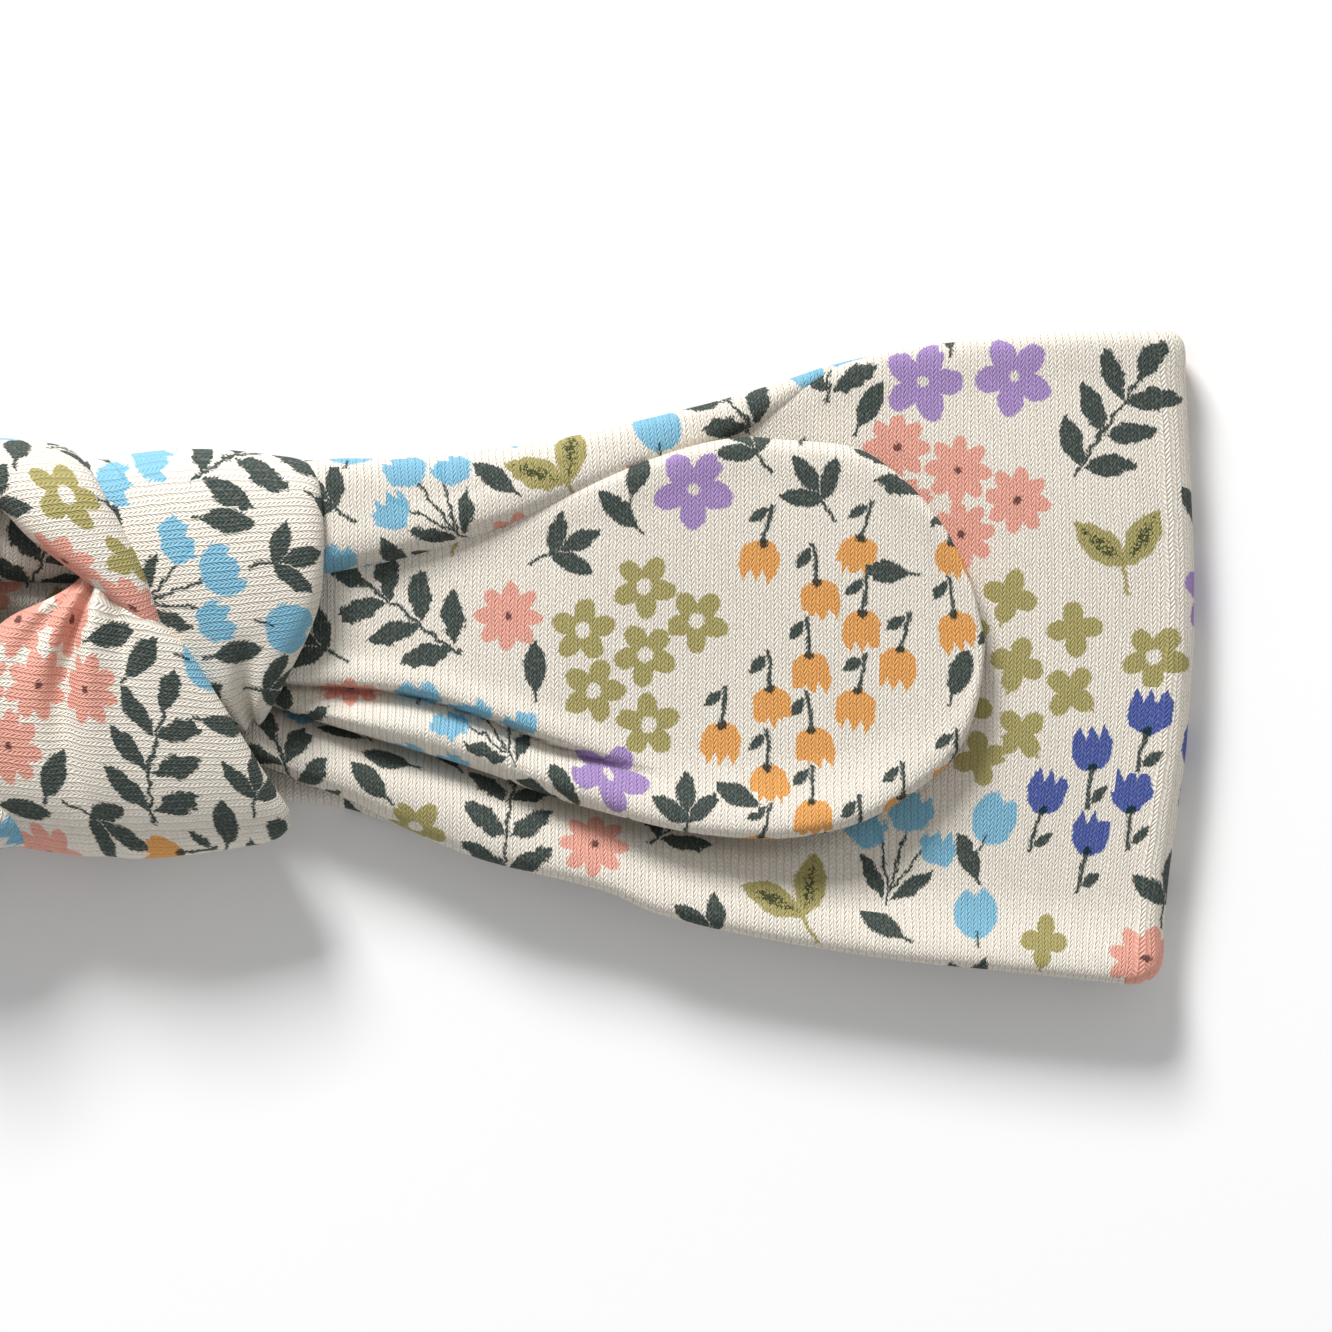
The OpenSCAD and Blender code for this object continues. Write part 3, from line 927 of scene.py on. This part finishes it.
def disc(x, y, cx, cy, radius):
    return ((x - cx) ** 2 + (y - cy) ** 2).sqrt() - radius


def stem(x, y, low, high, width=0.03, bend=0.0):
    """A thin line up the middle of a motif, between two heights."""
    sideways = abs(x - (y * 2.4).sin() * bend) - width
    return sideways.high((y - high).high(low - y))


print("a plain leaf 1 long is on its edge where this is 0:", leaf(1, 0, 1, 1))

# %% [markdown]
# ### Blooms
# Each function below draws one family of motifs and gives, for each colour that is printed, the
# kind it belongs to, its ink and its shape. x and y run from -1 to 1 over a motif's height, and
# side_x is x folded over, which draws both halves of a motif at once.

# %% Blooms
def tulips(x, y):
    """A cup with three points, on a stem with one small leaf."""
    points = abs((x / 0.29 + 0.5).fraction() - 0.5) * 2
    cup = ((x / 0.45) ** 2 + ((y - 0.38).low(0) / 0.40) ** 2 - 1) * 0.3
    cup = cup.high(y - 0.98 + points * 0.30)
    stalk = stem(x, y, -0.86, 0.02, 0.05, 0.07).low(leaf_at(x, y, 0.2, -0.55, 42, 0.27, 0.13))
    stalk = stalk.low(disc(x, y, 0, 0.03, 0.11))
    return [("orange_tulip", "orange", cup), ("orange_tulip", "green", stalk),
            ("cobalt_tulip", "cobalt", cup), ("cobalt_tulip", "green", stalk)]


def round_blooms(x, y, tone):
    """Petals round a middle: stars, rings, clovers and coral daisies."""
    radius = (x * x + y * y).sqrt()
    angle = y.maths("ARCTAN2", x)
    five = lobes(radius, angle, 5, 0.52, 1.0)
    four = lobes(radius, angle, 4, 0.42, 0.92).low(stem(x, y, -1.05, -0.4, 0.05))
    daisy = lobes(radius, angle + tone * 6, 8, 0.62, 0.98)
    return [("star", "purple", five), ("star", "pale", radius - 0.14),
            ("ring", "olive", five.high(0.24 - radius)), ("clover", "olive", four),
            ("coral", "coral", daisy), ("coral", "rust", radius - 0.11)]


def blue_blooms(x, y, side_x):
    """Three frilled blooms on thin stems that meet, with two dark leaves, and single blooms."""
    rise = (y + 0.6) / 1.1
    stems = (abs(side_x - rise * 0.5) - 0.024).low(side_x - 0.024).high((y - 0.4).high(-0.8 - y))
    stems = stems.low(leaf_at(side_x, y, 0.30, -0.42, 50, 0.36, 0.11))
    frill = abs((side_x / 0.21 + 0.3).fraction() - 0.5) * 0.30
    outer = disc(side_x, y, 0.55, 0.24, 0.29).high(y - 0.48 + frill)
    inner = disc(x, y, 0.0, 0.64, 0.33).high(y - 0.92 + frill)
    single = ((x / 0.72) ** 2 + ((y - 0.1) / 0.80) ** 2 - 1).high(y - 0.62 - side_x * 0.8) * 0.35
    return [("blue_fan", "green", stems), ("blue_fan", "sky", outer.low(inner)),
            ("blue_bloom", "sky", single), ("blue_bloom", "green", stem(x, y, -1.0, -0.45, 0.04))]


print("the blooms are tulips, round blooms and blue blooms")

# %% Leaves
def sprigs(x, y, side_x):
    """A stem with pairs of leaves and one at its tip."""
    rung = ((y + 0.9) / 0.5).fraction() * 0.5 - 0.25
    pair = leaf_at(side_x, rung, 0.29, 0.02, 38, 0.34, 0.14).high(y - 0.60).high(-0.9 - y)
    tip = leaf_at(x, y, 0.0, 0.80, 90, 0.30, 0.13)
    return [("sprig", "green", stem(x, y, -1.0, 0.7, 0.024, 0.03).low(pair).low(tip))]


def olive_pairs(x, y, side_x, shades):
    """Two broad leaves with mossy hearts."""
    broad = leaf_at(side_x, y, 0.42, 0.1, 48, 0.66, 0.31).low(stem(x, y, -0.95, -0.3, 0.04, 0.05))
    heart = leaf_at(side_x, y, 0.42, 0.1, 48, 0.50, 0.12) + abs(shades - 0.5) * 1.6 - 0.05
    return [("olive_pair", "olive", broad), ("olive_pair", "moss", heart)]


def dark_leaves(x, y, side_x):
    """Three leaves from one point, and single ones."""
    fan = leaf_at(side_x, y, 0.40, 0.0, 40, 0.57, 0.23).low(leaf_at(x, y, 0, 0.42, 90, 0.57, 0.23))
    single = leaf_at(x, y, 0, 0.15, 90, 0.84, 0.36).low(stem(x, y, -1.0, 0, 0.05))
    return [("dark_fan", "green", fan.low(stem(x, y, -0.95, -0.1, 0.04, 0.06))),
            ("dark_leaf", "green", single)]


print("the leaves are sprigs, olive pairs and dark leaves")

# %% [markdown]
# ## The jersey
# The cloth is a fine single jersey: columns of small V-shaped stitches, with ink that sits on
# the stitches and breaks up along its edges. The loops could be modelled one by one, but there
# are tens of thousands, so they are a height in the bump, laid on the cloth map so that the
# columns run with every fold. The gaps between stitches also get a little painted shade in their
# colour.

# %% Knit
# Width of a column of stitches and height of a row, in mm
WALE, COURSE = 0.64, 0.42


def knit_height(cloth):
    """The stitches: each column has two legs that lean towards each other."""
    u, v = cloth.axes()
    sway = cloth.noise(0.55, 3.0) - 0.5
    leg = abs((u / WALE + sway * 0.45).fraction() - 0.5) * 2
    legs = 1 - (leg * 2 - 1) ** 2
    lean = ((v / COURSE + leg * 1.25 + sway * 0.9) * (2 * math.pi)).sin() * 0.5 + 0.5
    return ((1 - leg ** 6) * 0.40 + legs * 0.60) * (lean * 0.62 + 0.38)


print("a square centimetre holds", round(100 / WALE / COURSE), "stitches")

# %% [markdown]
# Ink sits on the tops of the stitches, so a shape's edge is ragged where a gap crosses it, and
# it wanders a little as the cloth stretches. A clean edge would look like a sticker.

# %% Ink
# Softness of the ink's edge in mm, and how far shapes wander as a share of a motif
EDGE, WANDER = 0.13, 0.14
INK = {
    "green": "06302f", "sky": "7cc2e2", "purple": "ab8cce", "olive": "aea45e", "moss": "3f4a2e",
    "orange": "f3a84e", "cobalt": "2a4ca8", "coral": "f6ab98", "rust": "6b4340", "pale": "f4eee0"}


def inked_layers(start, cloth, knit, fuzz, shades):
    """Each ink with how well it covers: fully inside its shape, broken at the edge."""
    kind = start.node("ShaderNodeAttribute", {"attribute_name": "kind"}, out=2)
    tone = start.node("ShaderNodeAttribute", {"attribute_name": "tone"}, out=2)
    shift_x, shift_y = cloth.noise(0.9, 2.0, out=1).axes()
    x, y = start.node("ShaderNodeUVMap", {"uv_map": "motif"}).axes()
    x = x + (shift_x - 0.5) * WANDER
    y = y + (shift_y - 0.5) * WANDER
    side_x = abs(x)
    shapes = tulips(x, y) + round_blooms(x, y, tone) + blue_blooms(x, y, side_x)
    shapes += sprigs(x, y, side_x) + olive_pairs(x, y, side_x, shades) + dark_leaves(x, y, side_x)
    ragged = (0.5 - knit) * 0.22 + (fuzz - 0.5) * 0.25
    layers = []
    for name, ink, distance in shapes:
        mine = kind.maths("COMPARE", KIND_ID[name], 0.2)
        inside = (0.5 - (distance * KINDS[name].half_high + ragged) / EDGE).clamped()
        layers.append((ink, inside * mine))
    return layers


print(len(INK), "inks on the cream ground")

# %% Jersey
# The first is a random change of the cream; the second is painted shade for the gaps between
# stitches, and also tints single yarns
GROUND_SHADE, PAINTED_SHADE_AND_YARN_TONE = "efe5d4", "94806a"
FINISH = {
    "Roughness": 0.88, "Specular IOR Level": 0.15, "Sheen Weight": 0.04, "Sheen Roughness": 0.45}
# How high the stitches stand in the bump, in metres, and its strength
STITCH_HIGH, BUMP_STRENGTH = 0.00016, 0.9


def jersey():
    """Printed cotton jersey: a knit relief, a scattered print and a soft sheen."""
    made = bpy.data.materials.new("printed_jersey")
    made.use_nodes = True
    tree = made.node_tree
    shader = tree.nodes["Principled BSDF"]
    start = Value(tree, None)
    cloth = start.node("ShaderNodeUVMap", {"uv_map": "cloth"})
    knit = knit_height(cloth)
    fuzz = cloth.noise(3.1, 4.0, 0.7)
    shades = cloth.noise(1.9, 3.0)
    gap = (1 - knit) ** 2
    ground = start.node("ShaderNodeRGB")
    ground.socket.default_value = rgb(GROUND)
    colour = ground.mixed(rgb(GROUND_SHADE), (shades * 0.45).clamped())
    thin = ((fuzz - 0.48) * 0.5).high(0)
    for ink, cover in inked_layers(start, cloth, knit, fuzz, shades):
        colour = colour.mixed(rgb(INK[ink]), cover * (0.97 - gap * 0.12 - thin))
    # Painted shade darkens the gaps between stitches, and single yarns differ a little in tone
    colour = colour.mixed(rgb(PAINTED_SHADE_AND_YARN_TONE), (gap * 0.42 + (fuzz - 0.5) * 0.34).clamped(), "MULTIPLY")
    tree.links.new(colour.socket, shader.inputs["Base Color"])
    for name, value in FINISH.items():
        shader.inputs[name].default_value = value
    relief = {"Height": knit + fuzz * 0.5, "Distance": STITCH_HIGH, "Strength": BUMP_STRENGTH}
    tree.links.new(start.node("ShaderNodeBump", None, relief).socket, shader.inputs["Normal"])
    return made


material = jersey()
for piece in [knot_middle] + [piece for pair in parts.values() for piece in pair.values()]:
    piece.data.materials.append(material)
print("printed jersey has", len(material.node_tree.nodes), "nodes")

# %% [markdown]
# ## How the cloth moves
# The loop opens at its side folds and beside the knot, and an ear turns where it leaves the knot.
# Here the bands, backs and ears stay as they were drawn. The pleats ride on the front and the
# knot's stretches ride on the knot.

# %% Riding
BODIES = frame["record"]["behaviour"]["bodies"]
for side, name in SIDES.items():
    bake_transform(bands[side], f"{name}_back", f"{name}_front",
             start=(side * FOLD_X * MM, 0, (FOLD_Z - 0.8) * MM),
             end=(side * FOLD_X * MM, 0, (FOLD_Z + 0.8) * MM))
    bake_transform(backs[side], "back_centre", f"{name}_back",
             start=(side * (HINGE_X - 2) * MM, 0, 0.001), end=(side * (HINGE_X + 2) * MM, 0, 0.001))
    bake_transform(ears[side], "knot", f"{name}_ear",
             start=(side * (EAR_X - 2) * MM, 0, 0.008), end=(side * (EAR_X + 3) * MM, 0, 0.008))
    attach(pleats[side], f"{name}_front")
    for piece in knots[side]:
        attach(piece, "knot")
    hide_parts(f"knot_{name}_wrap")
    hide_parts(f"knot_{name}_tail_strand")
    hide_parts(f"knot_{name}_band_strand")
    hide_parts(f"knot_{LOBE_NAMES[side]}_lobe")
    panels = BODIES[f"{name}_front"] + BODIES[f"{name}_back"]
    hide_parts(*[node for node in panels if "pleat" not in node])
    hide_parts(f"{name}_front_pleat")
    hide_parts(*BODIES[f"{name}_ear"])
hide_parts(*BODIES["back_centre"])
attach(knot_middle, "knot")
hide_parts("knot_core")

# %% [markdown]
# The size of each stretch on the right, as it is when the strip is untied and flat, is printed:
# measured along its middle and half way round its double ply.

# %% Sheets
for part, pair in parts.items():
    for side, piece in pair.items():
        width, length, area = FLAT[piece.name]
        if side == 1:
            size = f"{width / MM:.0f} x {length / MM:.0f} mm flat"
            print(piece.name, "is", size, "and", round(area * 1e4, 1), "square centimetres")

width, length, area = FLAT[knot_middle.name]

# %% [markdown]
# ## Floor and light
# The headband lies on plain white. One large soft lamp far behind it to the left throws the
# shadow forwards, and an even white sky fills it. A small lamp would cut the shadow hard.

# %% Stage
FLOOR_WIDTH, PAPER_WHITE, PAPER_ROUGHNESS = 16, 0.93, 0.9
bpy.ops.mesh.primitive_plane_add(size=FLOOR_WIDTH, location=(0, 0, 0))
floor = bpy.context.object
floor.name = "floor"
paper = bpy.data.materials.new("white_floor")
paper.use_nodes = True
paper_shader = paper.node_tree.nodes["Principled BSDF"]
paper_shader.inputs["Base Color"].default_value = (PAPER_WHITE, PAPER_WHITE, PAPER_WHITE, 1)
paper_shader.inputs["Roughness"].default_value = PAPER_ROUGHNESS
floor.data.materials.append(paper)
print("floor is", floor.dimensions.x, "m wide")

# %% Lights
# The lamp's place, what it points at and its width in metres, its power in watts, and the sky
KEY_PLACE, KEY_AIM, KEY_WIDTH, KEY_POWER = (-0.50, 1.38, 0.96), (0.05, 0, 0), 0.52, 38
SKY_STRENGTH = 0.45
key_data = bpy.data.lights.new("key", "AREA")
key_data.size = KEY_WIDTH
key_data.energy = KEY_POWER
key = bpy.data.objects.new("key", key_data)
bpy.context.scene.collection.objects.link(key)
key.location = KEY_PLACE
key_way = np.array(KEY_AIM) - np.array(KEY_PLACE)
key.rotation_euler = Vector(key_way).to_track_quat("-Z", "Y").to_euler()
world = bpy.data.worlds.new("studio")
world.use_nodes = True
sky = world.node_tree.nodes["Background"]
sky.inputs["Color"].default_value = (1, 1, 1, 1)
sky.inputs["Strength"].default_value = SKY_STRENGTH
bpy.context.scene.world = world
bpy.context.scene.view_settings.view_transform = "Standard"
print("key lamp is", round(key.location.length, 2), "m away")

# %% [markdown]
# ## Finish

# %% Finish
print("finished")
